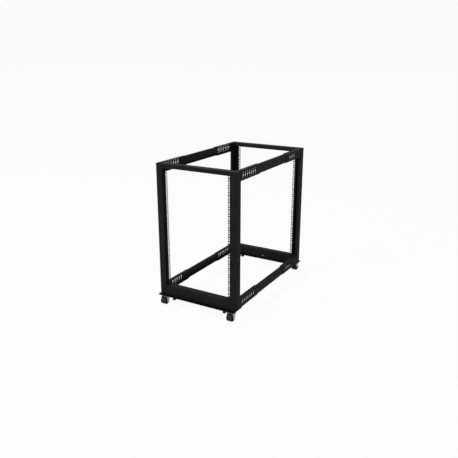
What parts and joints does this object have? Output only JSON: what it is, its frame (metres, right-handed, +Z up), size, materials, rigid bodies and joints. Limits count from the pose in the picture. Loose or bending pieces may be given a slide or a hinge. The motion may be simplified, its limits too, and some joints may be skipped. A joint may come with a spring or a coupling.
{
  "type": "four post open frame rack",
  "caption": "Open frame equipment rack with square-hole posts, telescoping side rails, swivel casters and levelling feet.",
  "frame": {"origin": "on the floor, under the middle of the rack's bounding box", "axes": "+X to the rack's right seen from the front, +Y from the front to the back, +Z up"},
  "size_m": [0.593, 1.068, 0.9723],
  "materials": {
    "frame_black": "satin black powder coat",
    "bright_zinc": "bright zinc plate",
    "wheel_black": "satin black",
    "foot_steel": "black oxide"
  },
  "bodies": {
    "rack_frame": {"base_plate_front": "frame_black", "base_beam_front": "frame_black", "top_beam_front": "frame_black", "post_front_left": "frame_black", "sleeve_top_front_left": "frame_black", "sleeve_base_front_left": "frame_black", "post_front_right": "frame_black", "sleeve_top_front_right": "frame_black", "sleeve_base_front_right": "frame_black", "base_plate_rear": "frame_black", "base_beam_rear": "frame_black", "top_beam_rear": "frame_black", "post_rear_left": "frame_black", "sleeve_top_rear_left": "frame_black", "sleeve_base_rear_left": "frame_black", "post_rear_right": "frame_black", "sleeve_top_rear_right": "frame_black", "sleeve_base_rear_right": "frame_black", "middle_rail_top_left": "frame_black", "middle_rail_base_left": "frame_black", "middle_rail_top_right": "frame_black", "middle_rail_base_right": "frame_black", "caster_plate_front_left": "bright_zinc", "caster_plate_front_right": "bright_zinc", "caster_plate_rear_left": "bright_zinc", "caster_plate_rear_right": "bright_zinc"},
    "caster_swivel_front_left": {"caster_fork_front_left": "bright_zinc", "caster_axle_front_left": "bright_zinc"},
    "caster_roll_front_left": {"caster_wheel_front_left": "wheel_black"},
    "leveller_front_left": {"levelling_foot_front_left": "foot_steel"},
    "caster_swivel_front_right": {"caster_fork_front_right": "bright_zinc", "caster_axle_front_right": "bright_zinc"},
    "caster_roll_front_right": {"caster_wheel_front_right": "wheel_black"},
    "leveller_front_right": {"levelling_foot_front_right": "foot_steel"},
    "caster_swivel_rear_left": {"caster_fork_rear_left": "bright_zinc", "caster_axle_rear_left": "bright_zinc"},
    "caster_roll_rear_left": {"caster_wheel_rear_left": "wheel_black"},
    "leveller_rear_left": {"levelling_foot_rear_left": "foot_steel"},
    "caster_swivel_rear_right": {"caster_fork_rear_right": "bright_zinc", "caster_axle_rear_right": "bright_zinc"},
    "caster_roll_rear_right": {"caster_wheel_rear_right": "wheel_black"},
    "leveller_rear_right": {"levelling_foot_rear_right": "foot_steel"}
  },
  "joints": [
    {"name": "swivel_front_left", "type": "hinge", "parent": "rack_frame", "child": "caster_swivel_front_left", "pos_m": [-0.259, -0.494, 0.057], "axis": [0, 0, 1], "continuous": true},
    {"name": "wheel_spin_front_left", "type": "hinge", "parent": "caster_swivel_front_left", "child": "caster_roll_front_left", "pos_m": [-0.259, -0.5085, 0.025], "axis": [1, 0, 0], "continuous": true},
    {"name": "leveller_screw_front_left", "type": "slide", "parent": "rack_frame", "child": "leveller_front_left", "axis": [0, 0, 1], "range_m": [-0.035, 0.004]},
    {"name": "swivel_front_right", "type": "hinge", "parent": "rack_frame", "child": "caster_swivel_front_right", "pos_m": [0.259, -0.494, 0.057], "axis": [0, 0, 1], "continuous": true},
    {"name": "wheel_spin_front_right", "type": "hinge", "parent": "caster_swivel_front_right", "child": "caster_roll_front_right", "pos_m": [0.259, -0.5085, 0.025], "axis": [1, 0, 0], "continuous": true},
    {"name": "leveller_screw_front_right", "type": "slide", "parent": "rack_frame", "child": "leveller_front_right", "axis": [0, 0, 1], "range_m": [-0.035, 0.004]},
    {"name": "swivel_rear_left", "type": "hinge", "parent": "rack_frame", "child": "caster_swivel_rear_left", "pos_m": [-0.259, 0.494, 0.057], "axis": [0, 0, 1], "continuous": true},
    {"name": "wheel_spin_rear_left", "type": "hinge", "parent": "caster_swivel_rear_left", "child": "caster_roll_rear_left", "pos_m": [-0.259, 0.5085, 0.025], "axis": [1, 0, 0], "continuous": true},
    {"name": "leveller_screw_rear_left", "type": "slide", "parent": "rack_frame", "child": "leveller_rear_left", "axis": [0, 0, 1], "range_m": [-0.035, 0.004]},
    {"name": "swivel_rear_right", "type": "hinge", "parent": "rack_frame", "child": "caster_swivel_rear_right", "pos_m": [0.259, 0.494, 0.057], "axis": [0, 0, 1], "continuous": true},
    {"name": "wheel_spin_rear_right", "type": "hinge", "parent": "caster_swivel_rear_right", "child": "caster_roll_rear_right", "pos_m": [0.259, 0.5085, 0.025], "axis": [1, 0, 0], "continuous": true},
    {"name": "leveller_screw_rear_right", "type": "slide", "parent": "rack_frame", "child": "leveller_rear_right", "axis": [0, 0, 1], "range_m": [-0.035, 0.004]}
  ]
}
